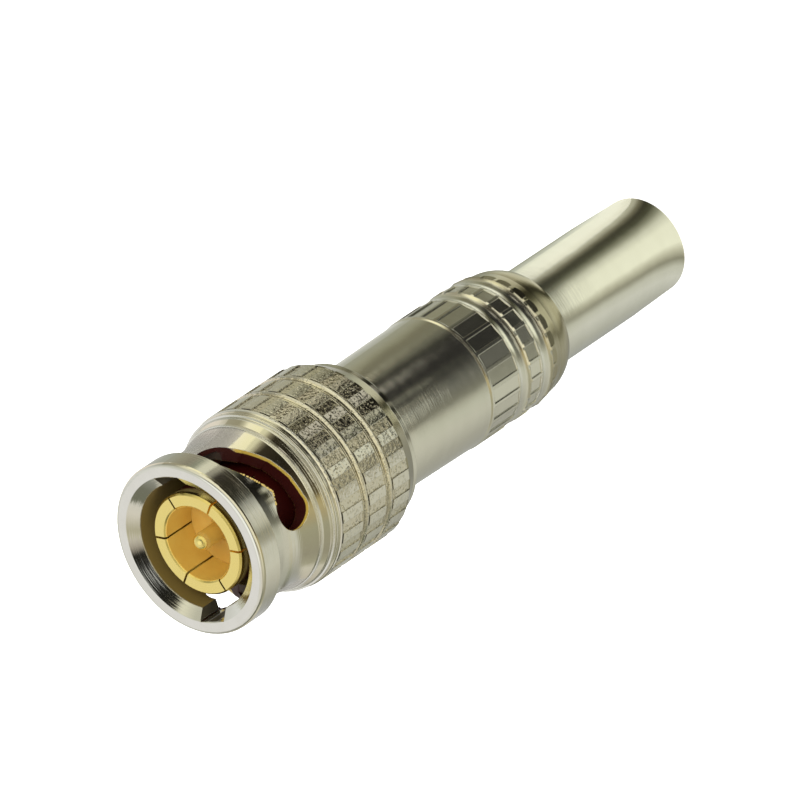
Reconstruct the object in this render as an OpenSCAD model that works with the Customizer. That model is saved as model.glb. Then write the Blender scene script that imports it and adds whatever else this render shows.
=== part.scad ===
// Bayonet coaxial plug with a screw-on rear shell and a plain metal tail, standing on its tail.
// The axis is Z, the mating face is up, and distances named *_at run back from the mating face.

/* [Overall] */
// Length from the mating face to the end of the tail
total_l = 55.5; // [54:0.5:60]
// Distance from the mating face back to the rear lip of the coupling nut
nut_l = 18.65; // [18.4:0.05:19.2]
// Distance from the mating face back to the rear end of the grip barrel
barrel_end_at = 39.6; // [39.2:0.1:41]

/* [Coupling nut] */
// Diameter of the front flange
flange_d = 13.58; // [13.3:0.02:14]
// Width of the front flange
flange_w = 2.05; // [1.8:0.05:2.1]
// Rounding of the outer front edge
flange_round = 0.35; // [0.1:0.05:0.5]
// Smallest diameter of the waist behind the flange
waist_d = 12.3; // [12.1:0.05:12.6]
// Distance back to the middle of the waist
waist_at = 4.3; // [4:0.1:4.6]
// Radius of the hollow flare between the waist and the grip
flare_r = 10; // [9:0.5:14]
// Distance back to the shoulder where the grip starts
grip_at = 8.1; // [8:0.05:8.3]
// Diameter of the shoulder in front of the grip
shoulder_d = 14.1; // [13.9:0.05:14.3]
// Diameter over the grip pads
grip_d = 14.34; // [14.2:0.02:14.8]
// Distance back to the rear end of the last row of pads
grip_end_at = 16.8; // [16.8:0.05:17]
// Diameter of the rear lip
lip_d = 12.86; // [12.7:0.02:13.2]
// Width of the rear lip
lip_w = 0.45; // [0.3:0.05:0.6]
// Diameter of the front bore that passes over the mating jack
front_bore_d = 10; // [9.9:0.02:10.1]
// Diameter of the lead-in cone at the mating face
lead_d = 11.6; // [11.2:0.1:11.8]
// Depth of the lead-in cone
lead_l = 0.65; // [0.3:0.05:0.9]
// Diameter of the rear counterbore
rear_bore_d = 11.2; // [11.16:0.02:11.3]

/* [Bayonet slots] */
// Width of the slots
slot_w = 2.6; // [2.3:0.05:2.8]
// Width of the neck in front of the seat
neck_w = 2; // [1.9:0.05:2.3]
// Diameter of the round seat at the locked end
seat_d = 3; // [2.9:0.05:3.1]
// Width of the straight entry channels
entry_w = 2.3; // [2.1:0.05:2.4]
// Distance from the axis to the flat floor of the entry channels
entry_r = 5.7; // [5.6:0.02:5.8]

/* [Grip pads] */
// Number of pads round the nut
nut_pads = 26; // [20:1:30]
// Share of the pitch that is cut away between the pads of the nut
nut_cut_share = 0.5; // [0.3:0.05:0.6]
// Depth of the recesses between the pads of the nut
nut_cut_depth = 0.1; // [0.06:0.01:0.12]
// Number of flats round the barrel
barrel_flats = 24; // [20:1:28]
// Share of the pitch taken by each flat of the barrel
flat_share = 0.8; // [0.6:0.05:0.85]
// Depth of the flats at their middle
flat_depth = 0.13; // [0.1:0.01:0.18]
// Turn of the first flat from the entry channel of the nut, in degrees
flats_turn = 12.6; // [0:0.1:15]

/* [Contacts] */
// Outside diameter of the split outer contact
contact_d = 8.05; // [8:0.01:8.1]
// Inside diameter of the split outer contact
contact_bore_d = 5.84; // [5.7:0.02:6]
// Distance from the mating face back to the tip of the contacts
contact_at = 0.95; // [0.9:0.05:1.4]
// Number of slits in the outer contact
slits = 6; // [4:2:8]
// Width of the slits
slit_w = 0.16; // [0.12:0.01:0.25]
// Length of the slits
slit_l = 5.2; // [4:0.1:6]
// Diameter of the centre pin
pin_d = 1.36; // [1.32:0.01:1.38]
// Diameter of the solder cup behind the pin
cup_d = 2.3; // [2.1:0.05:2.6]
// Diameter of the hole in the solder cup
cup_bore_d = 1.3; // [1.1:0.05:1.5]
// Length of the solder cup
cup_l = 7; // [6:0.5:7.5]
// Length of the open trough at the end of the solder cup
trough_l = 3; // [2:0.5:4]
// Diameter of the pin inside the insulators
shank_d = 2; // [1.6:0.1:2.1]
// Length of the solder cup that the rear insulator holds
cup_seat_l = 3; // [2:0.5:3.5]
// Distance back to the face of the front insulator
insulator_at = 3.95; // [3.6:0.05:5]

/* [Connector body] */
// Diameter of the collar that carries the nut
collar_d = 10.9; // [10.8:0.02:10.98]
// Distance back to the front face of the collar
collar_at = 10.02; // [10.02:0.01:10.1]
// Width of the collar
collar_w = 1.38; // [1.3:0.02:1.4]
// Diameter of the threaded tube behind the collar
thread_d = 9; // [8.9:0.02:9.04]
// Advance of the thread in one turn
thread_pitch = 0.75; // [0.5:0.25:1]
// Distance back to the rear end of the threaded tube
body_end_at = 22.4; // [22:0.1:22.5]
// Bore of the body behind its web
body_bore_d = 6.6; // [6.4:0.05:6.8]
// Thickness of the sealing gasket
gasket_w = 1.2; // [0.8:0.1:1.6]

/* [Spring pack] */
// Thickness of the spring washer strip
spring_t = 0.25; // [0.2:0.01:0.3]
// Height of the bowed spring washer at rest
spring_h = 1.28; // [1.2:0.02:1.3]
// Thickness of the thrust washer
thrust_t = 0.6; // [0.5:0.05:0.65]
// Section width of the retaining ring, along the axis
ring_t = 0.7; // [0.6:0.05:0.74]
// Opening of the retaining ring
ring_gap_deg = 40; // [20:5:60]

/* [Grip barrel] */
// Diameter of the barrel at the rear lip of the nut
barrel_front_d = 10.48; // [10.3:0.02:10.6]
// Diameter of the barrel where the flats start
barrel_mid_d = 10.8; // [10.7:0.02:11]
// Diameter over the three bands of flats
band_d = 10.94; // [10.9:0.02:11.1]
// Diameter of the rear face of the barrel
barrel_end_d = 9.4; // [9.2:0.05:9.8]
// Bore of the barrel behind its thread
barrel_bore_d = 8.4; // [8.36:0.02:8.5]

/* [Tail] */
// Outside diameter of the tail tube
tail_d = 8; // [7.8:0.02:8.1]
// Outside diameter of the tail tube at its end
tail_end_d = 7.74; // [7.6:0.02:7.8]
// Inside diameter of the tail tube, where the cable enters
tail_bore_d = 6.6; // [6:0.1:6.8]
// Rounding of the outer edge of the tail end
tail_round = 0.45; // [0.2:0.05:0.5]

/* [Cable clamp] */
// Thickness of the clamp strip
clamp_t = 0.4; // [0.3:0.05:0.5]
// Length of the clamp ring that sits in the body
clamp_seat_l = 2.2; // [1.5:0.1:2.8]
// Length of the tongue between the body and the wings
tongue_l = 5; // [4:0.5:6]
// Length of the crimp wings
wing_l = 4; // [3:0.5:4.5]
// Arc of the tongue, in degrees
tongue_deg = 130; // [90:5:180]
// Arc of the crimp wings, in degrees
wing_deg = 290; // [240:5:320]

/* [Fits] */
// Radial gap of parts pressed or pushed together
push_fit = 0.02; // [0.01:0.005:0.04]
// Radial gap of parts that run on each other
run_fit = 0.05; // [0.04:0.005:0.08]
// Radial gap round the insulating sleeve
sleeve_fit = 0.06; // [0.04:0.01:0.1]

/* [Hidden] */
$fn = 96;
// Overlap where two outlines join into one
lap = 0.4;
flange_r = flange_d / 2;
waist_r = waist_d / 2;
shoulder_r = shoulder_d / 2;
grip_r = grip_d / 2;
lip_r = lip_d / 2;
band_r = band_d / 2;
front_bore_r = front_bore_d / 2;
rear_bore_r = rear_bore_d / 2;
contact_r = contact_d / 2;
contact_bore_r = contact_bore_d / 2;
pin_r = pin_d / 2;
shank_r = shank_d / 2;
cup_r = cup_d / 2;
collar_r = collar_d / 2;
thread_r = thread_d / 2;
body_bore_r = body_bore_d / 2;
barrel_bore_r = barrel_bore_d / 2;
tail_r = tail_d / 2;
tail_bore_r = tail_bore_d / 2;

// Nut: stations of the counterbore, the ring groove and the three rows of pads
step_at = collar_at - 0.02;
grip_start_at = grip_at + 0.5;
lip_step = 0.06;
groove_r = rear_bore_r + 0.3;
groove_at = 13.4;
groove_w = 0.8;
pad_rows = [[8.98, 11.35], [12.12, 14.1], [14.94, 17.3]];
hollow_grooves = [[8.35, 8.8], [11.3, 11.92], [14.05, 14.72]];
sharp_grooves = [[8.86, 9.0], [11.98, 12.14], [14.78, 14.96]];
hollow_depth = 0.16;
sharp_depth = 0.14;
bead_at = 7.1;
bead_w = 0.3;
bead_rise = 0.08;

// Bayonet slot: turn from the entry channel, distance from the mating face, then width
slot_path = [[18, 3.5, slot_w], [34, 4.15, slot_w], [50, 4.9, slot_w - 0.2], [65, 5.45, neck_w],
    [83, 5.15, seat_d]];
slot_inner = front_bore_r - 0.6;
slot_outer = shoulder_r + 1;

// Spring pack, from the collar back
spring_at = collar_at + collar_w + 0.03;
thrust_at = spring_at + spring_h + 0.05;
ring_at = groove_at + 0.04;

// Barrel: stations of the thread, the bands of flats and the grooves between them
barrel_at = 16.4;
barrel_step_at = body_end_at + 0.3;
flat_rows = [[29.4, 32.55], [33.95, 35.25], [36.65, 38.2]];
band_at = 29;
band_grooves = [[32.45, 34], [35.2, 36.7]];
band_end_at = band_grooves[1][1];
band_step = 0.2;
barrel_lead = 0.2;
band_groove_depth = 0.22;
crown_at = 37.9;
crown_r = 5.2;
tail_seat_at = 34.5;

// Tail and the pieces inside the barrel
tail_flange_w = 0.7;
tail_taper_at = total_l - 5.5;
sleeve_r = barrel_bore_r - sleeve_fit;
sleeve_bore_r = sleeve_r - 0.6;
sleeve_at = barrel_step_at + 0.2;
sleeve_end_at = tail_seat_at - tail_flange_w - 0.3;
web_at = 13.5;
web_w = 0.8;
web_r = 2.6;
cup_at = 16.5;
clamp_r = body_bore_r - push_fit;

// Height of a station measured back from the mating face
function at(s) = total_l - s;

// Radius of a hollow groove of a given width and depth
function hollow_r(w, d) = (w * w / 4 + d * d) / (2 * d);

// Rise of the nut's flare above its waist at a station
function flare_rise(s) = flare_r - sqrt(flare_r * flare_r - (s - waist_at) * (s - waist_at));

// A ring about the axis between two stations
module ring(inner, outer, from, to) {
    translate([0, 0, at(to)])
        difference() {
            cylinder(r = outer, h = to - from);
            translate([0, 0, -1])
                cylinder(r = inner, h = to - from + 2);
        }
}

// Half section of a ring, for the turned outlines
module band(inner, outer, from, to) {
    translate([inner, at(to)])
        square([outer - inner, to - from]);
}

// Half section of the round bottom of a hollow groove
module hollow(surface, row, depth) {
    w = row[1] - row[0];
    r = hollow_r(w, depth);
    translate([surface + r - depth, at((row[0] + row[1]) / 2)])
        circle(r = r);
}

// Flats or recesses cut into a turned band, as many as count, each w wide
module cut_row(count, first, floor, w, row) {
    for (i = [0:count - 1])
        rotate([0, 0, -first - i * 360 / count])
            translate([floor, -w / 2, at(row[1])])
                cube([2, w, row[1] - row[0]]);
}

// Turned outside of the coupling nut, before the cuts
module nut_section() {
    difference() {
        union() {
            band(front_bore_r, flange_r - flange_round, 0, flange_w);
            band(front_bore_r, flange_r, flange_round, flange_w);
            translate([flange_r - flange_round, at(flange_round)])
                circle(r = flange_round);
            difference() {
                band(front_bore_r, shoulder_r, flange_w - lap, grip_at + lap);
                translate([waist_r + flare_r, at(waist_at)])
                    circle(r = flare_r, $fn = 360);
            }
            band(front_bore_r, waist_r + flare_rise(bead_at) + bead_rise, bead_at, bead_at + bead_w);
            band(front_bore_r, shoulder_r, grip_at, grip_start_at + lap);
            polygon([[front_bore_r, at(nut_l)], [lip_r, at(nut_l)], [lip_r, at(nut_l - lip_w)],
                [lip_r + lip_step, at(nut_l - lip_w)], [grip_r, at(grip_end_at)],
                [grip_r, at(grip_start_at)], [front_bore_r, at(grip_start_at)]]);
        }
        for (row = hollow_grooves)
            hollow(grip_r, row, hollow_depth);
        for (row = sharp_grooves)
            band(grip_r - sharp_depth, grip_r + 1, row[0], row[1]);
        // Lead-in cone, rear counterbore and the groove of the retaining ring
        polygon([[0, at(lead_l)], [front_bore_r, at(lead_l)],
            [lead_d / 2 + (lead_d / 2 - front_bore_r) / lead_l, at(-1)], [0, at(-1)]]);
        band(0, rear_bore_r, step_at, nut_l + 1);
        band(0, groove_r, groove_at, groove_at + groove_w);
    }
}

// Straight piece of a slot between two points of its path, as wide at each end as the path says
module slot_piece(a, b, outer) {
    arc = (b[0] - a[0]) * PI / 180 * waist_r;
    drop = b[1] - a[1];
    run = norm([arc, drop]);
    rotate([0, 0, -(a[0] + b[0]) / 2])
        translate([slot_inner, 0, at((a[1] + b[1]) / 2)])
            rotate([atan2(drop, arc), 0, 0])
                rotate([90, 0, 90])
                    linear_extrude(outer - slot_inner)
                        polygon([[-run / 2, -b[2] / 2], [run / 2, -a[2] / 2],
                            [run / 2, a[2] / 2], [-run / 2, b[2] / 2]]);
}

// Round radial hole through the wall of the nut at a point of the path
module slot_hole(p, outer) {
    rotate([0, 0, -p[0]])
        translate([slot_inner, 0, at(p[1])])
            rotate([0, 90, 0])
                cylinder(d = p[2], h = outer - slot_inner);
}

// A whole bayonet slot with its entry channel, which stays inside the wall
module bayonet_slot() {
    entry = [0, slot_path[0][1], slot_w];
    for (i = [0:len(slot_path) - 2]) {
        slot_hole(slot_path[i], slot_outer);
        slot_piece(slot_path[i], slot_path[i + 1], slot_outer);
    }
    slot_hole(slot_path[len(slot_path) - 1], slot_outer);
    slot_piece(entry, slot_path[0], entry_r);
    translate([slot_inner, -entry_w / 2, at(entry[1] + slot_w / 2)])
        cube([entry_r - slot_inner, entry_w, entry[1] + slot_w / 2 + 1]);
}

module coupling_nut() {
    pitch = 360 / nut_pads;
    cut_w = 2 * grip_r * sin(pitch * nut_cut_share / 2);
    color("silver")
        difference() {
            rotate_extrude()
                nut_section();
            for (turn = [0, 180])
                rotate([0, 0, turn])
                    bayonet_slot();
            for (row = pad_rows)
                cut_row(nut_pads, 0, grip_r - nut_cut_depth, cut_w, row);
        }
}

module retaining_ring() {
    color("dimgray")
        rotate([0, 0, ring_gap_deg / 2])
            rotate_extrude(angle = 360 - ring_gap_deg)
                band(thread_r + 0.45, groove_r - run_fit, ring_at, ring_at + ring_t);
}

module thrust_washer() {
    color("gainsboro")
        ring(thread_r + 0.08, rear_bore_r - run_fit, thrust_at, thrust_at + thrust_t);
}

// A bowed washer is a flat ring bent about one cross axis
module spring_washer() {
    outer = rear_bore_r - 0.2;
    bow = (outer * outer) / (2 * (spring_h - spring_t));
    color("slategray")
        intersection() {
            ring(thread_r + 0.1, outer, spring_at - 1, spring_at + spring_h + 1);
            translate([0, 0, at(spring_at) - bow])
                rotate([0, 90, 0])
                    difference() {
                        cylinder(r = bow, h = 20, center = true);
                        cylinder(r = bow - spring_t, h = 22, center = true);
                    }
        }
}

module sealing_gasket() {
    color("darkred")
        ring(contact_r + push_fit, front_bore_r - run_fit, collar_at - 0.01 - gasket_w, collar_at - 0.01);
}

module connector_body() {
    color("goldenrod")
        rotate_extrude()
            difference() {
                union() {
                    band(0, collar_r, collar_at, collar_at + collar_w);
                    band(0, thread_r, collar_at, body_end_at);
                }
                band(0, contact_r + push_fit, collar_at - 1, web_at);
                band(0, web_r, web_at - 1, web_at + web_w + 1);
                band(0, body_bore_r, web_at + web_w, body_end_at + 1);
            }
}

module split_contact() {
    edge = 0.15;
    color("gold")
        difference() {
            rotate_extrude()
                polygon([[contact_bore_r, at(web_at - 0.02)], [contact_r, at(web_at - 0.02)],
                    [contact_r, at(contact_at + edge)], [contact_r - edge, at(contact_at)],
                    [contact_bore_r + edge, at(contact_at)], [contact_bore_r, at(contact_at + edge)]]);
            for (i = [0:slits / 2 - 1])
                rotate([0, 0, 20 - i * 360 / slits])
                    translate([-contact_r - 1, -slit_w / 2, at(contact_at + slit_l)])
                        cube([contact_d + 2, slit_w, slit_l + 1]);
        }
}

module centre_pin() {
    cup_end_at = cup_at + cup_l;
    trough_floor = pin_r / 4;
    color("gold")
        difference() {
            rotate_extrude() {
                intersection() {
                    translate([0, at(contact_at + pin_r)])
                        circle(r = pin_r);
                    band(0, pin_r, contact_at - 1, contact_at + pin_r);
                }
                band(0, pin_r, contact_at + pin_r - 0.01, insulator_at + lap);
                band(0, shank_r, insulator_at + 0.02, cup_at + lap);
                band(0, cup_r, cup_at, cup_end_at);
            }
            translate([0, 0, at(cup_end_at + 1)])
                cylinder(d = cup_bore_d, h = cup_l - cup_bore_d);
            translate([trough_floor, -cup_r, at(cup_end_at + 1)])
                cube([cup_d, cup_d, trough_l + 1]);
        }
}

module front_insulator() {
    color("peru")
        ring(shank_r + push_fit, contact_bore_r - push_fit, insulator_at, web_at - 0.3);
}

module rear_insulator() {
    seat_end_at = cup_at + cup_seat_l;
    color("ivory")
        rotate_extrude()
            difference() {
                band(shank_r + push_fit, body_bore_r - push_fit, web_at + web_w + 0.05, seat_end_at);
                band(0, cup_r + push_fit, cup_at - 0.05, seat_end_at + 1);
            }
}

// Opening of the sheet clamp: all but a kept arc of its wall, between two stations
module clamp_opening(kept_deg, from, to) {
    rotate([0, 0, -90 + kept_deg / 2])
        rotate_extrude(angle = 360 - kept_deg)
            band(1, clamp_r + 2, from, to);
}

// Sheet clamp: a ring in the body, a tongue along the cable and two crimp wings
module cable_clamp() {
    ring_from = body_end_at - clamp_seat_l;
    tongue_from = body_end_at + 0.1;
    tongue_to = body_end_at + tongue_l;
    wing_to = tongue_to + wing_l;
    color("goldenrod")
        difference() {
            ring(clamp_r - clamp_t, clamp_r, ring_from, wing_to);
            clamp_opening(tongue_deg, tongue_from, tongue_to);
            clamp_opening(wing_deg, tongue_to - 0.1, wing_to + 1);
        }
}

module insulating_sleeve() {
    color("white")
        ring(sleeve_bore_r, sleeve_r, sleeve_at, sleeve_end_at);
}

// Turned outside of the barrel, before the flats
module barrel_section() {
    front_r = barrel_front_d / 2;
    mid_r = barrel_mid_d / 2;
    end_r = barrel_end_d / 2;
    crown_h = barrel_end_at - crown_at;
    fall = crown_r - end_r;
    arc_r = (crown_h * crown_h + fall * fall) / (2 * fall);
    difference() {
        union() {
            polygon([[0, at(crown_at)], [crown_r, at(crown_at)], [band_r, at(band_end_at)],
                [band_r, at(band_at + band_step)], [mid_r, at(band_at)], [front_r, at(nut_l)],
                [front_r - barrel_lead, at(barrel_at)], [0, at(barrel_at)]]);
            intersection() {
                translate([crown_r - arc_r, at(crown_at)])
                    circle(r = arc_r);
                band(0, crown_r, crown_at - 1, barrel_end_at);
            }
        }
        for (row = band_grooves)
            hollow(band_r, row, band_groove_depth);
        band(0, thread_r + run_fit, barrel_at - 1, barrel_step_at);
        band(0, barrel_bore_r, barrel_step_at - 0.5, tail_seat_at);
        band(0, tail_r + push_fit, tail_seat_at - 0.5, barrel_end_at + 1);
    }
}

module barrel() {
    flat_w = 2 * band_r * sin(360 / barrel_flats * flat_share / 2);
    color("silver")
        difference() {
            rotate_extrude()
                barrel_section();
            for (row = flat_rows)
                cut_row(barrel_flats, flats_turn, band_r - flat_depth, flat_w, row);
        }
}

module tail_tube() {
    end_r = tail_end_d / 2;
    flange_at = tail_seat_at - tail_flange_w;
    flange_edge = barrel_bore_r - push_fit;
    color("silver")
        rotate_extrude()
            difference() {
                union() {
                    polygon([[0, 0], [end_r - tail_round, 0], [end_r - tail_round, tail_round],
                        [end_r, tail_round], [tail_r, at(tail_taper_at)], [tail_r, at(tail_seat_at)],
                        [flange_edge, at(tail_seat_at)], [flange_edge, at(flange_at)], [0, at(flange_at)]]);
                    translate([end_r - tail_round, at(total_l - tail_round)])
                        circle(r = tail_round);
                }
                band(0, tail_bore_r, flange_at - 1, total_l + 1);
            }
}

coupling_nut();
retaining_ring();
thrust_washer();
spring_washer();
sealing_gasket();
connector_body();
split_contact();
centre_pin();
front_insulator();
rear_insulator();
cable_clamp();
insulating_sleeve();
barrel();
tail_tube();
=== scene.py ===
import math

import bmesh
import bpy
from mathutils import Euler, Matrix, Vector


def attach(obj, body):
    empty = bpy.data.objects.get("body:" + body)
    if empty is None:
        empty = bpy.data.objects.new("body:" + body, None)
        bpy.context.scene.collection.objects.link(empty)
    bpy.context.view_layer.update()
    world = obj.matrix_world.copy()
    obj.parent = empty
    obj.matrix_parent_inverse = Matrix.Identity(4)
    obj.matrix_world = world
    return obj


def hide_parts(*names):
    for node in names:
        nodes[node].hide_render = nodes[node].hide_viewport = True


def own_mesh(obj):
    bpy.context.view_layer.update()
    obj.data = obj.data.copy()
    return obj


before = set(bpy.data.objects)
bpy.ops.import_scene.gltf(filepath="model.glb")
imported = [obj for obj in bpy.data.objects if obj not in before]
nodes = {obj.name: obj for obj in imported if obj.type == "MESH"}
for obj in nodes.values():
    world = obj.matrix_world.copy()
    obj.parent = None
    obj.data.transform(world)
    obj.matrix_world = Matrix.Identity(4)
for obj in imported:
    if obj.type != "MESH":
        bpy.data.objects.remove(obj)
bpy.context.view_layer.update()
scene = bpy.context.scene
scene.view_settings.view_transform = "Standard"

# Sizes that more than one part of the script needs
plug = {
    "height": 0.0555,  # mating face above the floor, in metres
    "waistAt": 4.3,  # mm behind the mating face, where the nut starts to flare
    "waistRadius": 6.15,  # mm
    "flareRadius": 10.0,  # mm, of the arc that the flare follows
}
print("stage: frame loaded")


def atFace(mm):
    return plug["height"] - mm / 1000  # height of a station given in mm behind the mating face


def linear(red, green, blue):
    return tuple(((c / 255 + 0.055) / 1.055) ** 2.4 if c > 10 else c / 255 / 12.92 for c in (red, green, blue))


# Camera: a long lens that looks down on the mating face
cameraLook = {
    "place": (0.23584, -0.54965, 0.58775),
    "turnDegrees": (-30.846, 37.405, -111.339),
    "lens": 500.4,
    "sensor": 36,
    "farthest": 20,
}
cameraData = bpy.data.cameras.new("camera")
cameraData.lens = cameraLook["lens"]
cameraData.sensor_width = cameraLook["sensor"]
cameraData.clip_end = cameraLook["farthest"]
camera = bpy.data.objects.new("camera", cameraData)
camera.location = cameraLook["place"]
camera.rotation_euler = Euler([math.radians(a) for a in cameraLook["turnDegrees"]])
scene.collection.objects.link(camera)
scene.camera = camera


# Small helpers for node trees
def newTree(name, world=False):
    block = bpy.data.worlds.new(name) if world else bpy.data.materials.new(name)
    block.use_nodes = True
    block.node_tree.nodes.clear()
    return block, block.node_tree


def addNode(tree, kind, inputs=None, **settings):
    node = tree.nodes.new(kind)
    for key, value in settings.items():
        setattr(node, key, value)
    for key, value in (inputs or {}).items():
        plugIn(tree, value, node.inputs[key])
    return node


def plugIn(tree, value, socket):
    if isinstance(value, bpy.types.NodeSocket):
        tree.links.new(value, socket)
    elif isinstance(value, tuple) and len(value) == 3 and socket.type == "RGBA":
        socket.default_value = (*value, 1)
    else:
        socket.default_value = value


def calculate(tree, operation, *values):
    return addNode(tree, "ShaderNodeMath", dict(enumerate(values)), operation=operation).outputs[0]


def product(tree, first, *others):
    for other in others:
        first = calculate(tree, "MULTIPLY", first, other)
    return first


def scaled(tree, value, factor, offset):
    return calculate(tree, "MULTIPLY_ADD", value, factor, offset)


def slope(tree, value, low, high, first=0.0, last=1.0, shape="LINEAR"):
    inputs = {"Value": value, "From Min": low, "From Max": high, "To Min": first, "To Max": last}
    return addNode(tree, "ShaderNodeMapRange", inputs, interpolation_type=shape).outputs[0]


def smooth(tree, value, low, high, first=0.0, last=1.0):
    return slope(tree, value, low, high, first, last, "SMOOTHSTEP")


def between(tree, value, low, high, soft):
    up = smooth(tree, value, low - soft, low + soft)
    down = smooth(tree, value, high - soft, high + soft, 1.0, 0.0)
    return product(tree, up, down)


def fromCentre(tree, x, y):
    return calculate(tree, "SQRT", calculate(tree, "ADD", product(tree, x, x), product(tree, y, y)))


def azimuthShare(tree, x, y):
    turns = calculate(tree, "DIVIDE", calculate(tree, "ARCTAN2", y, x), 2 * math.pi)
    return calculate(tree, "FRACT", calculate(tree, "ADD", turns, 1.0))  # 0 to 1 round the axis


def ramp(tree, factor, stops):
    node = addNode(tree, "ShaderNodeValToRGB", {0: factor})
    band = node.color_ramp
    while len(band.elements) < len(stops):
        band.elements.new(1.0)
    for element, (position, colour) in zip(band.elements, sorted(stops)):
        element.position = position
        element.color = (*colour, 1)
    return node.outputs[0]


def mixColour(tree, factor, first, second):
    return addNode(tree, "ShaderNodeMix", {0: factor, 6: first, 7: second}, data_type="RGBA").outputs[2]


# Table: white to the camera. Polished metal shows dark and pale cards that lie round the plug in rings.
# Each card is an azimuth in degrees and a tone
tableLook = {
    "size": 4.0,
    "paper": (0.9, 0.9, 0.9),
    "white": 1.02,
    "shadowed": 0.35,  # share of the white that the lamps give, so that the shadow stays
    # radius where one ring meets the next, and half the width of the blend
    "rings": ((0.0205, 0.004), (0.0468, 0.0012), (0.0573, 0.0006), (0.061, 0.0015), (0.075, 0.005)),
}
tailCards = [
    (112, (204, 203, 186)), (90, (160, 161, 148)), (76, (160, 162, 146)), (64, (182, 184, 166)),
    (52, (214, 216, 198)), (40, (244, 244, 224)), (16, (248, 247, 228)), (4, (236, 234, 214)),
    (-5, (176, 174, 152)), (-12, (112, 108, 86)), (-20, (52, 50, 34)), (-30, (70, 70, 50)),
    (-40, (136, 136, 114)), (-50, (206, 206, 184)), (-62, (238, 238, 214)), (-88, (242, 242, 218)),
    (-97, (204, 202, 178)), (-110, (140, 138, 118)), (-122, (196, 196, 180)), (-138, (206, 206, 194)),
    (-170, (178, 178, 166)), (-208, (160, 162, 156)),
]
barrelCards = [
    (112, (238, 237, 232)), (82, (208, 208, 200)), (66, (172, 172, 158)), (54, (156, 156, 138)),
    (36, (146, 144, 120)), (22, (116, 112, 90)), (6, (116, 114, 94)), (-6, (98, 96, 80)),
    (-16, (40, 39, 30)), (-30, (26, 24, 18)), (-48, (24, 22, 16)), (-58, (32, 31, 25)),
    (-68, (64, 63, 56)), (-80, (92, 91, 82)), (-92, (104, 103, 91)), (-103, (120, 119, 103)),
    (-112, (170, 169, 151)), (-124, (192, 192, 174)), (-140, (194, 192, 176)), (-176, (166, 164, 151)),
    (-200, (160, 159, 149)), (-226, (172, 173, 166)),
]
# The grip's cards change a pad apart, so pads and recesses show light and dark in turn
gripCards = [
    (112, (230, 230, 226)), (92, (202, 203, 194)), (70, (180, 180, 164)), (44, (172, 168, 146)),
    (30, (184, 180, 152)), (20, (150, 146, 122)), (13, (60, 56, 40)), (8, (78, 70, 54)),
    (5, (196, 188, 162)), (-6, (178, 170, 146)), (-10, (36, 30, 20)), (-22, (28, 24, 16)),
    (-25, (206, 200, 182)), (-35, (196, 190, 172)), (-38, (22, 20, 12)), (-51, (24, 22, 14)),
    (-54, (190, 186, 164)), (-58, (168, 166, 142)), (-61, (34, 34, 22)), (-67, (64, 62, 44)),
    (-71, (180, 176, 152)), (-76, (120, 116, 96)), (-80, (214, 214, 194)), (-92, (208, 206, 186)),
    (-97, (120, 116, 100)), (-104, (150, 146, 130)), (-110, (204, 201, 184)), (-150, (198, 195, 178)),
    (-184, (176, 175, 160)), (-208, (160, 160, 147)),
]
shoulderCards = [
    (112, (218, 220, 214)), (92, (200, 201, 192)), (78, (154, 156, 144)), (56, (158, 156, 134)),
    (44, (164, 156, 132)), (32, (196, 188, 166)), (8, (224, 217, 190)), (-4, (210, 205, 178)),
    (-16, (152, 148, 120)), (-28, (166, 156, 136)), (-40, (196, 188, 166)), (-60, (214, 208, 188)),
    (-76, (232, 222, 190)), (-100, (208, 198, 160)), (-112, (170, 160, 134)), (-124, (206, 203, 178)),
    (-148, (198, 190, 164)), (-172, (178, 174, 149)), (-184, (142, 144, 120)), (-208, (112, 110, 94)),
    (-232, (132, 128, 120)),
]
flangeCards = [
    (112, (190, 190, 188)), (86, (180, 180, 172)), (70, (168, 170, 158)), (44, (154, 150, 130)),
    (30, (138, 132, 114)), (19, (140, 142, 122)), (10, (214, 212, 188)), (2, (214, 211, 188)),
    (-5, (150, 146, 130)), (-12, (58, 53, 46)), (-24, (40, 36, 26)), (-44, (40, 39, 29)),
    (-52, (70, 71, 62)), (-60, (160, 160, 148)), (-72, (206, 205, 190)), (-86, (196, 194, 175)),
    (-98, (146, 145, 127)), (-106, (162, 160, 142)), (-116, (204, 203, 188)), (-140, (206, 204, 188)),
    (-160, (190, 187, 172)), (-186, (162, 161, 149)), (-206, (170, 170, 166)), (-224, (200, 200, 197)),
]
flareCards = [
    (112, (220, 220, 202)), (92, (224, 218, 204)), (66, (232, 222, 208)), (54, (228, 220, 204)),
    (47, (190, 184, 162)), (40, (160, 154, 130)), (28, (156, 150, 124)), (22, (200, 194, 164)),
    (17, (252, 244, 208)), (6, (250, 242, 198)), (-5, (220, 214, 176)), (-11, (130, 122, 98)),
    (-17, (52, 46, 32)), (-40, (34, 30, 18)), (-54, (42, 36, 24)), (-66, (58, 50, 34)),
    (-80, (74, 64, 44)), (-92, (92, 80, 52)), (-99, (170, 154, 108)), (-106, (180, 166, 122)),
    (-114, (174, 161, 122)), (-128, (162, 158, 130)), (-160, (154, 149, 127)), (-174, (166, 162, 138)),
    (-182, (204, 199, 180)), (-200, (196, 189, 172)), (-226, (160, 156, 142)),
]


def cardStops(cards):
    return [(((azimuth + 360) % 360) / 360, linear(*tone)) for azimuth, tone in cards]


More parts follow.
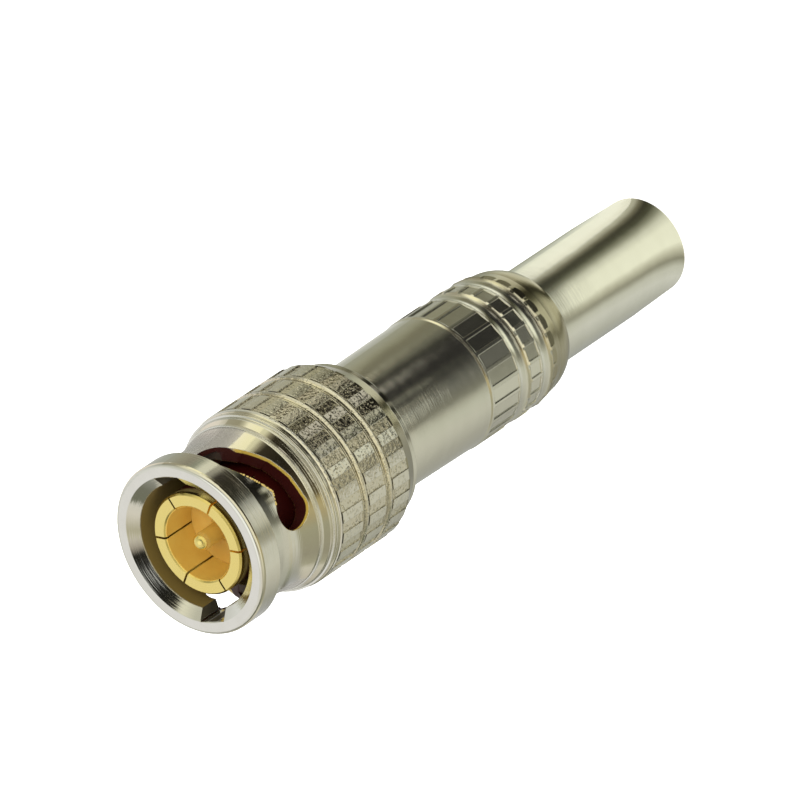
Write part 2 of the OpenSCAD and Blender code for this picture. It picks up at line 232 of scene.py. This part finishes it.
table, tree = newTree("tableTop")
flat = addNode(tree, "ShaderNodeSeparateXYZ", {0: addNode(tree, "ShaderNodeTexCoord").outputs["Object"]})
x, y = flat.outputs[0], flat.outputs[1]
azimuth = azimuthShare(tree, x, y)
reach = fromCentre(tree, x, y)
cards = ramp(tree, azimuth, cardStops(tailCards))
outerRings = (barrelCards, gripCards, shoulderCards, flangeCards, flareCards)
for (edge, blend), ring in zip(tableLook["rings"], outerRings):
    beyond = smooth(tree, reach, edge - blend, edge + blend)
    cards = mixColour(tree, beyond, cards, ramp(tree, azimuth, cardStops(ring)))
shownCards = addNode(tree, "ShaderNodeEmission", {0: cards})
paper = addNode(tree, "ShaderNodeBsdfDiffuse", {0: tableLook["paper"]})
lift = addNode(tree, "ShaderNodeEmission", {0: (1.0, 1.0, 1.0), 1: tableLook["white"] - tableLook["shadowed"]})
seenPaper = addNode(tree, "ShaderNodeAddShader", {0: paper.outputs[0], 1: lift.outputs[0]})
rays = addNode(tree, "ShaderNodeLightPath")
surface = addNode(tree, "ShaderNodeMixShader", {
    0: rays.outputs["Is Glossy Ray"], 1: seenPaper.outputs[0], 2: shownCards.outputs[0]})
addNode(tree, "ShaderNodeOutputMaterial", {0: surface.outputs[0]})
bpy.ops.mesh.primitive_plane_add(size=tableLook["size"])
floor = bpy.context.object
floor.name = "floor"
floor.data.materials.append(table)


# Room: white to the camera. Metal sees pale walls with a few dark and bright cards at three heights
roomLook = {
    "strength": 1.0,
    "heights": (0.72, 0.878, 0.945),  # where low wall, high wall, cove and ceiling meet, 0.5 is the horizon
    "blend": 0.012,
    "ceiling": (250, 250, 244),
    "dull": (205, 205, 202),  # what rough surfaces are lit by
}
lowWall = [
    (100, (205, 205, 200)), (80, (224, 224, 220)), (62, (206, 206, 200)), (43, (152, 152, 138)),
    (30, (160, 156, 138)), (20, (226, 220, 192)), (-40, (244, 238, 210)), (-110, (240, 232, 200)),
    (-150, (176, 170, 148)), (-163, (134, 134, 114)), (-178, (112, 114, 96)), (-200, (118, 118, 104)),
    (-215, (150, 150, 140)), (-235, (200, 200, 192)),
]
highWall = [
    (112, (228, 226, 224)), (84, (224, 224, 218)), (50, (200, 200, 186)), (30, (194, 192, 174)),
    (12, (228, 224, 200)), (-8, (240, 234, 206)), (-36, (232, 226, 200)), (-56, (234, 228, 202)),
    (-76, (242, 234, 204)), (-97, (220, 212, 180)), (-112, (166, 158, 134)), (-126, (196, 192, 168)),
    (-148, (182, 176, 152)), (-167, (216, 210, 196)), (-200, (222, 220, 214)), (-228, (228, 226, 224)),
]
cove = [
    (112, (214, 214, 206)), (40, (206, 206, 194)), (12, (176, 176, 162)), (2, (40, 38, 30)),
    (-60, (30, 29, 24)), (-112, (34, 32, 26)), (-124, (168, 160, 146)), (-150, (224, 216, 204)),
    (-220, (216, 214, 206)),
]
room, tree = newTree("room", world=True)
scene.world = room
heading = addNode(tree, "ShaderNodeSeparateXYZ", {0: addNode(tree, "ShaderNodeTexCoord").outputs["Generated"]})
x, y, up = heading.outputs
azimuth = azimuthShare(tree, x, y)
height = scaled(tree, up, 0.5, 0.5)
walls = ramp(tree, azimuth, cardStops(lowWall))
aboveLow = [
    ramp(tree, azimuth, cardStops(highWall)),
    ramp(tree, azimuth, cardStops(cove)),
    linear(*roomLook["ceiling"]),
]
for edge, above in zip(roomLook["heights"], aboveLow):
    beyond = smooth(tree, height, edge - roomLook["blend"], edge + roomLook["blend"])
    walls = mixColour(tree, beyond, walls, above)
rays = addNode(tree, "ShaderNodeLightPath")
lit = mixColour(tree, rays.outputs["Is Glossy Ray"], linear(*roomLook["dull"]), walls)
seen = mixColour(tree, rays.outputs["Is Camera Ray"], lit, (1.0, 1.0, 1.0))
backdrop = addNode(tree, "ShaderNodeBackground", {0: seen, 1: roomLook["strength"]})
addNode(tree, "ShaderNodeOutputWorld", {0: backdrop.outputs[0]})


# Lamps: two soft boxes above the table
lampAim = Vector((0, 0, 0.03))
lampLook = {
    "softBoxRight": {"place": (0.30, -0.30, 0.55), "size": 0.45, "watts": 3.2},
    "softBoxLeft": {"place": (-0.45, -0.10, 0.45), "size": 0.55, "watts": 2.2},
}
for name, look in lampLook.items():
    data = bpy.data.lights.new(name, "AREA")
    data.size = look["size"]
    data.energy = look["watts"]
    lamp = bpy.data.objects.new(name, data)
    lamp.location = look["place"]
    lamp.rotation_euler = (lampAim - lamp.location).to_track_quat("-Z", "Y").to_euler()
    lamp.visible_glossy = False  # metal sees the cards, not the boxes
    scene.collection.objects.link(lamp)
print("stage: camera, table, room and lamps set")


# Finishes
def objectPlace(tree):
    place = addNode(tree, "ShaderNodeTexCoord").outputs["Object"]
    x, y, z = addNode(tree, "ShaderNodeSeparateXYZ", {0: place}).outputs
    return place, fromCentre(tree, x, y), calculate(tree, "ARCTAN2", y, x), z


def turnedPlace(tree, fromAxis, turn, z, along, around):
    # noise coordinates that stretch round the axis, for marks left by turning
    return addNode(tree, "ShaderNodeCombineXYZ", {
        0: product(tree, turn, around), 1: product(tree, fromAxis, along), 2: product(tree, z, along)}).outputs[0]


def noise(tree, place, scale, detail=3.0, rough=0.6):
    inputs = {"Vector": place, "Scale": scale, "Detail": detail, "Roughness": rough}
    return addNode(tree, "ShaderNodeTexNoise", inputs).outputs[0]


def bump(tree, height, strength, distance, normal=None):
    inputs = {"Height": height, "Strength": strength, "Distance": distance}
    if normal is not None:
        inputs["Normal"] = normal
    return addNode(tree, "ShaderNodeBump", inputs).outputs[0]


def finishShader(tree, colour, roughness, metallic, normal):
    shader = addNode(tree, "ShaderNodeBsdfPrincipled", {
        "Base Color": colour, "Roughness": roughness, "Metallic": metallic, "Normal": normal})
    addNode(tree, "ShaderNodeOutputMaterial", {0: shader.outputs[0]})
    return shader


def roundedEdge(tree, radius):
    return addNode(tree, "ShaderNodeBevel", {"Radius": radius}, samples=6).outputs[0]


# Nickel of the coupling nut. Stations and radii are in mm
nickelLook = {
    "clean": linear(246, 246, 240), "worn": linear(206, 203, 188), "wearShare": 0.35, "wearScale": 700.0,
    "edge": 0.00006, "turnMarks": 0.00001, "turnScale": (9000.0, 0.9), "roughness": 0.08, "wornRoughness": 0.10,
    "gripSpan": (9.05, 16.9), "gripRadius": (6.8, 6.95), "gripGrain": 0.00002, "grainScale": 3000.0,
    "lumpScale": 4600.0, "lumpRange": (0.56, 0.72), "lumpHeight": 1.1,
    # painted shade: the grip's recesses are a little darker than the pads
    "recessRadius": (7.10, 7.15), "recessShade": linear(232, 229, 216),
    "ridges": (7.0, 7.95, 8.25, 11.62, 14.38), "ridgeHalf": 0.04, "ridgeHeight": 0.00004,
    # painted shade: dark lines in the floors of the sharp grooves
    "grooveShadeLines": (8.93, 12.06, 14.87), "grooveShadeHalf": 0.07, "grooveShadeColour": linear(44, 40, 28),
    "taperSpan": (16.82, 18.15), "taperShade": linear(176, 171, 148),  # painted shade: the rear taper is darkened all round
    "slotSpan": (2.15, 7.05), "wallDepth": 3.0,
    "pastEntry": (0.12, 0.8),  # share of a half turn from one entry channel to the next
    "rimColour": linear(224, 192, 88), "rimDepth": 0.02,  # bare brass at the slot's rim
    # painted shade: dark maroon on the slot walls below the rim
    "slotShade": linear(52, 13, 10), "rimWidth": 0.3,
    # painted shade: the bore darkened to olive-brown, the entry channels darker still
    "boreRadius": (4.0, 5.01), "boreSpan": (0.7, 9.5), "boreShade": linear(128, 108, 56),
    "channelRadius": (4.5, 5.72), "channelSpan": (0.04, 4.8), "channelHalf": 1.17,
    "channelShadeDark": linear(40, 34, 26), "channelShadePale": linear(96, 90, 72),
    "dullRoughness": 0.35, "dullMetal": -0.75, "rimDull": 0.8,
}


def polishedNickel(look):
    material, tree = newTree("polishedNickel")
    place, fromAxis, turn, z = objectPlace(tree)
    behind = scaled(tree, z, -1000.0, plug["height"] * 1000)  # mm behind the mating face
    radius = product(tree, fromAxis, 1000.0)
    fineTurn = noise(tree, turnedPlace(tree, fromAxis, turn, z, *look["turnScale"]), 1.0, 2.0)
    lumps = smooth(tree, noise(tree, place, look["lumpScale"], 1.0, 0.5), *look["lumpRange"])
    grain = noise(tree, place, look["grainScale"], 1.0, 0.5)
    grain = calculate(tree, "ADD", grain, product(tree, lumps, look["lumpHeight"]))
    outside = slope(tree, radius, *look["gripRadius"])
    gripped = product(tree, between(tree, behind, *look["gripSpan"], 0.1), outside)
    recess = slope(tree, radius, *look["recessRadius"], 1.0, 0.0)
    normal = roundedEdge(tree, look["edge"])
    normal = bump(tree, fineTurn, 0.5, look["turnMarks"], normal)
    normal = bump(tree, product(tree, grain, gripped, scaled(tree, recess, 0.4, 0.8)), 1.0, look["gripGrain"], normal)
    ridges = 0.0
    for line in look["ridges"]:
        ridge = between(tree, behind, line - look["ridgeHalf"], line + look["ridgeHalf"], 0.05)
        ridges = calculate(tree, "ADD", ridges, ridge)
    normal = bump(tree, ridges, 1.0, look["ridgeHeight"], normal)
    wear = noise(tree, place, look["wearScale"], 4.0)
    tone = mixColour(tree, product(tree, wear, look["wearShare"]), look["clean"], look["worn"])
    # painted shade: the grip's recesses a little darker than the pads
    tone = mixColour(tree, product(tree, gripped, recess), tone, look["recessShade"])
    # painted shade: the rear taper darkened all round
    tone = mixColour(tree, between(tree, behind, *look["taperSpan"], 0.06), tone, look["taperShade"])
    # painted shade: dark floors of the sharp grooves
    for line in look["grooveShadeLines"]:
        grooveShade = between(tree, behind, line - look["grooveShadeHalf"], line + look["grooveShadeHalf"], 0.03)
        tone = mixColour(tree, product(tree, grooveShade, outside), tone, look["grooveShadeColour"])
    # slot walls: bare brass at the rim, painted dark maroon shade deeper within
    fromWaist = calculate(tree, "SUBTRACT", behind, plug["waistAt"])
    fall = calculate(tree, "SQRT", scaled(tree, product(tree, fromWaist, fromWaist), -1.0, plug["flareRadius"] ** 2))
    skin = calculate(tree, "SUBTRACT", plug["waistRadius"] + plug["flareRadius"], fall)
    depth = calculate(tree, "SUBTRACT", skin, radius)
    onWaist = between(tree, behind, *look["slotSpan"], 0.05)
    alongSlot = calculate(tree, "FRACT", scaled(tree, turn, -1 / math.pi, 1.0))
    pastEntry = between(tree, alongSlot, *look["pastEntry"], 0.02)
    rim = product(tree, between(tree, depth, look["rimDepth"], look["wallDepth"], 0.02), onWaist, pastEntry)
    belowRim = scaled(tree, pastEntry, -look["rimWidth"], depth)
    within = product(tree, between(tree, belowRim, 0.0, look["wallDepth"], 0.04), onWaist)
    # the bore and the entry channels are dull, with painted shade: olive-brown in the bore, darker in the channels
    bore = product(tree, between(tree, radius, *look["boreRadius"], 0.004),
                   between(tree, behind, *look["boreSpan"], 0.05))
    sideways = calculate(tree, "ABSOLUTE", product(tree, calculate(tree, "SINE", turn), radius))
    channel = product(tree, between(tree, radius, *look["channelRadius"], 0.01),
                      between(tree, behind, *look["channelSpan"], 0.02),
                      between(tree, sideways, -1.0, look["channelHalf"], 0.01))
    tone = mixColour(tree, rim, tone, look["rimColour"])
    tone = mixColour(tree, within, tone, look["slotShade"])
    tone = mixColour(tree, bore, tone, look["boreShade"])
    tone = mixColour(tree, channel, tone, mixColour(tree, wear, look["channelShadeDark"], look["channelShadePale"]))
    dull = calculate(tree, "MAXIMUM", within, calculate(tree, "MAXIMUM", bore, channel))
    dull = calculate(tree, "MAXIMUM", product(tree, rim, look["rimDull"]), dull)
    roughness = scaled(tree, wear, look["wornRoughness"], look["roughness"] - 0.05)
    roughness = scaled(tree, dull, look["dullRoughness"], roughness)
    finishShader(tree, tone, roughness, scaled(tree, dull, look["dullMetal"], 1.0), normal)
    return material


# Satin nickel of the barrel and the tail
satinLook = {
    "clean": linear(248, 248, 241), "patchy": linear(222, 221, 208), "patchShare": 0.3,
    "edge": 0.00009, "turnMarks": 0.000012, "waves": 0.00005, "roughness": 0.17,
    "markScale": (7000.0, 1.3), "patchScale": (900.0, 1.0), "waveScale": 320.0,
    "crownSpan": (39.7, 36.6), "crownShade": linear(170, 164, 138),  # painted shade on the rear rounding of the barrel
}


def satinNickel(look):
    material, tree = newTree("satinNickel")
    place, fromAxis, turn, z = objectPlace(tree)
    marks = noise(tree, turnedPlace(tree, fromAxis, turn, z, *look["markScale"]), 1.0, 3.0, 0.7)
    patches = noise(tree, turnedPlace(tree, fromAxis, turn, z, *look["patchScale"]), 1.0, 2.0)
    waves = noise(tree, place, look["waveScale"], 2.0, 0.5)
    normal = roundedEdge(tree, look["edge"])
    normal = bump(tree, waves, 1.0, look["waves"], normal)
    normal = bump(tree, marks, 0.6, look["turnMarks"], normal)
    tone = mixColour(tree, product(tree, patches, look["patchShare"]), look["clean"], look["patchy"])
    # painted shade: the rear rounding of the barrel darkened all round, in patches
    crown = between(tree, z, atFace(look["crownSpan"][0]), atFace(look["crownSpan"][1]), 0.0003)
    tone = mixColour(tree, product(tree, crown, scaled(tree, patches, 0.4, 0.7)), tone, look["crownShade"])
    finishShader(tree, tone, scaled(tree, marks, 0.08, look["roughness"] - 0.04), 1.0, normal)
    return material


# Gold of the contacts and the body. Stations are in mm, radii in metres
goldLook = {
    "bright": linear(254, 236, 152), "deep": linear(252, 226, 130), "cloudShare": 0.5, "cloudScale": 900.0,
    "edge": 0.00004, "marks": 0.000006, "markScale": (8000.0, 1.0),
    "roughness": 0.22, "dullRoughness": 0.35, "dullMetal": -0.8,
    # painted shade: dark maroon on the outer wall behind the tip
    "wallShadeColour": linear(66, 16, 12), "wallShadeRadius": (0.0038, 0.0039),
    "wallShadeFront": (2.0, 1.3), "wallShadeEnd": (11.0, 10.0),
    "boreRadius": (0.0027, 0.00296), "boreSpan": (6.0, 1.02), "pinRadius": 0.0012, "pinSpan": (6.0, 1.5),
    # painted reflection: the amber of the insulator on the bore of the contact and the side of the pin
    "boreAmberReflection": linear(217, 187, 89), "boreAmberReflectionDeep": linear(206, 163, 69),
}


def goldPlate(look):
    material, tree = newTree("goldPlate")
    place, fromAxis, turn, z = objectPlace(tree)
    marks = noise(tree, turnedPlace(tree, fromAxis, turn, z, *look["markScale"]), 1.0, 2.0)
    cloudy = noise(tree, place, look["cloudScale"], 3.0)
    tone = mixColour(tree, product(tree, cloudy, look["cloudShare"]), look["bright"], look["deep"])
    # painted shade: the outer wall behind the tip is painted dark maroon
    outer = slope(tree, fromAxis, *look["wallShadeRadius"])
    behindTip = slope(tree, z, *(atFace(mm) for mm in look["wallShadeFront"]), 1.0, 0.0)
    beforeEnd = slope(tree, z, *(atFace(mm) for mm in look["wallShadeEnd"]))
    shadedWall = product(tree, outer, behindTip, beforeEnd)
    tone = mixColour(tree, shadedWall, tone, look["wallShadeColour"])
    # painted reflection: the bore of the contact and the side of the pin are painted with the amber they reflect from
    # the insulator, and made dull
    bore = product(tree, between(tree, fromAxis, *look["boreRadius"], 0.00001),
                   between(tree, z, *(atFace(mm) for mm in look["boreSpan"]), 0.00003))
    pinSide = product(tree, between(tree, fromAxis, -0.001, look["pinRadius"], 0.00001),
                      between(tree, z, *(atFace(mm) for mm in look["pinSpan"]), 0.0003))
    bore = calculate(tree, "MAXIMUM", bore, pinSide)
    tone = mixColour(tree, bore, tone, mixColour(tree, cloudy, look["boreAmberReflection"], look["boreAmberReflectionDeep"]))
    dull = calculate(tree, "MAXIMUM", product(tree, shadedWall, 0.6), bore)
    roughness = scaled(tree, dull, look["dullRoughness"], look["roughness"])
    metallic = scaled(tree, calculate(tree, "MAXIMUM", shadedWall, bore), look["dullMetal"], 1.0)
    normal = bump(tree, marks, 0.5, look["marks"], roundedEdge(tree, look["edge"]))
    finishShader(tree, tone, roughness, metallic, normal)
    return material


# Plain finishes: a noise mixes two tones and roughens the surface
plainLook = {
    "bareBrass": {"tones": (linear(250, 232, 160), linear(214, 176, 84)), "scale": 9000.0, "detail": 2.0,
                  "roughness": (0.2, 0.2), "metallic": 0.6, "bump": (0.6, 0.00001)},
    "springSteel": {"tones": (linear(190, 190, 186), linear(150, 150, 148)), "scale": 2500.0, "detail": 3.0,
                    "roughness": (0.2, 0.25), "metallic": 1.0, "bump": (0.4, 0.000006)},
}
plasticLook = {
    "amberPlastic": {"tones": (linear(206, 172, 86), linear(196, 150, 64)), "roughness": 0.5},
    "whitePlastic": {"tones": (linear(228, 226, 218), linear(210, 206, 194)), "roughness": 0.45},
    "redRubber": {"tones": (linear(78, 18, 12), linear(56, 12, 8)), "roughness": 0.5},
}
plasticGrain = {"mottleScale": 700.0, "fineScale": 6000.0, "fineHeight": 0.000008}
amberGlow = {"weight": 0.15, "reach": (0.0006, 0.0003, 0.0001)}


def plainMetal(name):
    look = plainLook[name]
    material, tree = newTree(name)
    place = addNode(tree, "ShaderNodeTexCoord").outputs["Object"]
    mottle = noise(tree, place, look["scale"], look["detail"])
    tone = mixColour(tree, mottle, *look["tones"])
    normal = bump(tree, mottle, *look["bump"])
    finishShader(tree, tone, scaled(tree, mottle, *look["roughness"]), look["metallic"], normal)
    return material


def mouldedPlastic(name):
    look = plasticLook[name]
    material, tree = newTree(name)
    place = addNode(tree, "ShaderNodeTexCoord").outputs["Object"]
    fine = noise(tree, place, plasticGrain["fineScale"], 2.0)
    tone = mixColour(tree, noise(tree, place, plasticGrain["mottleScale"], 4.0), *look["tones"])
    normal = bump(tree, fine, 0.4, plasticGrain["fineHeight"])
    shader = finishShader(tree, tone, scaled(tree, fine, 0.15, look["roughness"]), 0.0, normal)
    return material, shader


nickel = polishedNickel(nickelLook)
satin = satinNickel(satinLook)
gold = goldPlate(goldLook)
steel = plainMetal("springSteel")
brass = plainMetal("bareBrass")
amber, amberShader = mouldedPlastic("amberPlastic")
amberShader.inputs["Subsurface Weight"].default_value = amberGlow["weight"]
amberShader.inputs["Subsurface Radius"].default_value = amberGlow["reach"]
whitePlastic = mouldedPlastic("whitePlastic")[0]
rubber = mouldedPlastic("redRubber")[0]
finishes = {
    "coupling_nut": nickel, "retaining_ring": steel, "thrust_washer": steel, "spring_washer": steel,
    "sealing_gasket": rubber, "connector_body": gold, "split_contact": gold, "centre_pin": gold,
    "front_insulator": amber, "rear_insulator": whitePlastic, "cable_clamp": gold, "insulating_sleeve": whitePlastic,
    "barrel": satin, "tail_tube": satin,
}
for name, material in finishes.items():
    nodes[name].data.materials.clear()
    nodes[name].data.materials.append(material)
print("stage: finishes set")


# Pieces of the scene: each comes from a Geometry Nodes tree or a copied mesh, and becomes one plain mesh
def geometryTree(name, inputs):
    tree = bpy.data.node_groups.new(name, "GeometryNodeTree")
    for title, kind in inputs.items():
        tree.interface.new_socket(name=title, in_out="INPUT", socket_type="NodeSocket" + kind)
    tree.interface.new_socket(name="Mesh", in_out="OUTPUT", socket_type="NodeSocketGeometry")
    return tree, tree.nodes.new("NodeGroupInput").outputs


def closedMesh(mesh, gap=1e-7):
    soup = bmesh.new()
    soup.from_mesh(mesh)
    bmesh.ops.remove_doubles(soup, verts=soup.verts, dist=gap)
    bmesh.ops.recalc_face_normals(soup, faces=soup.faces)
    soup.to_mesh(mesh)
    soup.free()


def grownPiece(name, tree, values, geometry, material, path=()):
    solid = addNode(tree, "GeometryNodeRealizeInstances", {0: geometry})
    painted = addNode(tree, "GeometryNodeSetMaterial", {"Geometry": solid.outputs[0], "Material": material})
    addNode(tree, "NodeGroupOutput", {0: painted.outputs[0]})
    line = bpy.data.meshes.new(name + "Path")
    line.from_pydata(path, [(i, i + 1) for i in range(len(path) - 1)], [])
    piece = bpy.data.objects.new(name, line)
    scene.collection.objects.link(piece)
    modifier = piece.modifiers.new(name, "NODES")
    modifier.node_group = tree
    for socket in tree.interface.items_tree:
        if socket.in_out == "INPUT" and socket.name in values:
            modifier[socket.identifier] = values[socket.name]
    grown = bpy.data.meshes.new_from_object(piece.evaluated_get(bpy.context.evaluated_depsgraph_get()))
    piece.modifiers.clear()
    piece.data = grown
    closedMesh(grown)
    return piece


# Thread on the rear tube of the connector body, bared when the barrel is unscrewed
threadLook = {
    "from": 16.7, "to": 22.1,  # mm behind the mating face
    "radius": 0.00446, "pitch": 0.00075, "ridge": 0.00026,
    "stepsPerTurn": 48, "ridgeSides": 3,
}
threadLength = (threadLook["to"] - threadLook["from"]) / 1000
tree, ask = geometryTree("threadTree", {
    "Path": "Geometry", "Turns": "Float", "Radius": "Float", "Length": "Float", "Ridge": "Float", "Start": "Vector"})
spiral = addNode(tree, "GeometryNodeCurveSpiral", {
    "Resolution": threadLook["stepsPerTurn"], "Rotations": ask["Turns"], "Start Radius": ask["Radius"],
    "End Radius": ask["Radius"], "Height": ask["Length"]})
ridge = addNode(tree, "GeometryNodeCurvePrimitiveCircle", {
    "Resolution": threadLook["ridgeSides"], "Radius": ask["Ridge"]}, mode="RADIUS")
swept = addNode(tree, "GeometryNodeCurveToMesh", {
    "Curve": spiral.outputs[0], "Profile Curve": ridge.outputs[0], "Fill Caps": True})
placed = addNode(tree, "GeometryNodeSetPosition", {"Geometry": swept.outputs[0], "Offset": ask["Start"]})
threadValues = {
    "Turns": threadLength / threadLook["pitch"], "Radius": threadLook["radius"], "Length": threadLength,
    "Ridge": threadLook["ridge"], "Start": (0.0, 0.0, atFace(threadLook["to"])),
}
thread = grownPiece("bodyThread", tree, threadValues, placed.outputs[0], gold)
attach(thread, "core")

# Brass burrs, set on the nut along the front edge of each bayonet slot
burrLook = {
    # turn past the entry channel in degrees, and mm behind the mating face
    "path": ((42, 3.42), (50, 3.72), (58, 4.14), (66, 4.5), (70, 4.46), (74, 4.12)),
    "under": 0.02,  # mm below the nut's outer skin
    "count": 46, "smallest": 0.00004, "largest": 0.000095, "spread": 0.00007, "seed": 7,
}


def burrPlace(turn, behind, start):
    fall = math.sqrt(plug["flareRadius"] ** 2 - (behind - plug["waistAt"]) ** 2)
    radius = (plug["waistRadius"] + plug["flareRadius"] - fall - burrLook["under"]) / 1000
    azimuth = math.radians(start - turn)
    return (radius * math.cos(azimuth), radius * math.sin(azimuth), atFace(behind))


for side, start in (("First", 0), ("Second", 180)):
    tree, ask = geometryTree("burrTree" + side, {
        "Path": "Geometry", "Count": "Int", "Smallest": "Float", "Largest": "Float", "Spread": "Vector",
        "Seed": "Int", "Wall": "Object"})
    strand = addNode(tree, "GeometryNodeMeshToCurve", {0: ask["Path"]})
    points = addNode(tree, "GeometryNodeCurveToPoints", {
        "Curve": strand.outputs[0], "Count": ask["Count"]}, mode="COUNT")
    back = addNode(tree, "ShaderNodeVectorMath", {0: ask["Spread"], 1: (-1.0, -1.0, -1.0)}, operation="MULTIPLY")
    stray = addNode(tree, "FunctionNodeRandomValue", {
        0: back.outputs[0], 1: ask["Spread"], 8: ask["Seed"]}, data_type="FLOAT_VECTOR")
    strewn = addNode(tree, "GeometryNodeSetPosition", {"Geometry": points.outputs[0], "Offset": stray.outputs[0]})
    wall = addNode(tree, "GeometryNodeObjectInfo", {"Object": ask["Wall"]}, transform_space="RELATIVE")
    nearest = addNode(tree, "GeometryNodeProximity", {0: wall.outputs["Geometry"]}, target_element="FACES")
    rooted = addNode(tree, "GeometryNodeSetPosition", {
        "Geometry": strewn.outputs[0], "Position": nearest.outputs[0]})
    grain = addNode(tree, "GeometryNodeMeshIcoSphere", {"Radius": 1.0, "Subdivisions": 2})
    size = addNode(tree, "FunctionNodeRandomValue", {
        2: ask["Smallest"], 3: ask["Largest"], 8: ask["Seed"]}, data_type="FLOAT")
    lumps = addNode(tree, "GeometryNodeInstanceOnPoints", {
        "Points": rooted.outputs[0], "Instance": grain.outputs[0], "Scale": size.outputs[1]})
    burrValues = {
        "Count": burrLook["count"], "Smallest": burrLook["smallest"], "Largest": burrLook["largest"],
        "Spread": (burrLook["spread"],) * 3, "Seed": burrLook["seed"] + start, "Wall": nodes["coupling_nut"],
    }
    path = [burrPlace(turn, behind, start) for turn, behind in burrLook["path"]]
    burrs = grownPiece("slotBurrs" + side, tree, burrValues, lumps.outputs[0], brass, path)
    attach(burrs, "nut")

# Spring washer: a closed copy of the part's mesh with its own data, hung on the core body in place of the part
spring = bpy.data.objects.new("springWasherStrip", nodes["spring_washer"].data.copy())
scene.collection.objects.link(spring)
closedMesh(spring.data)
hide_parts("spring_washer")
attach(spring, "core")
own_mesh(spring)
print("stage: thread, burrs and spring washer made")
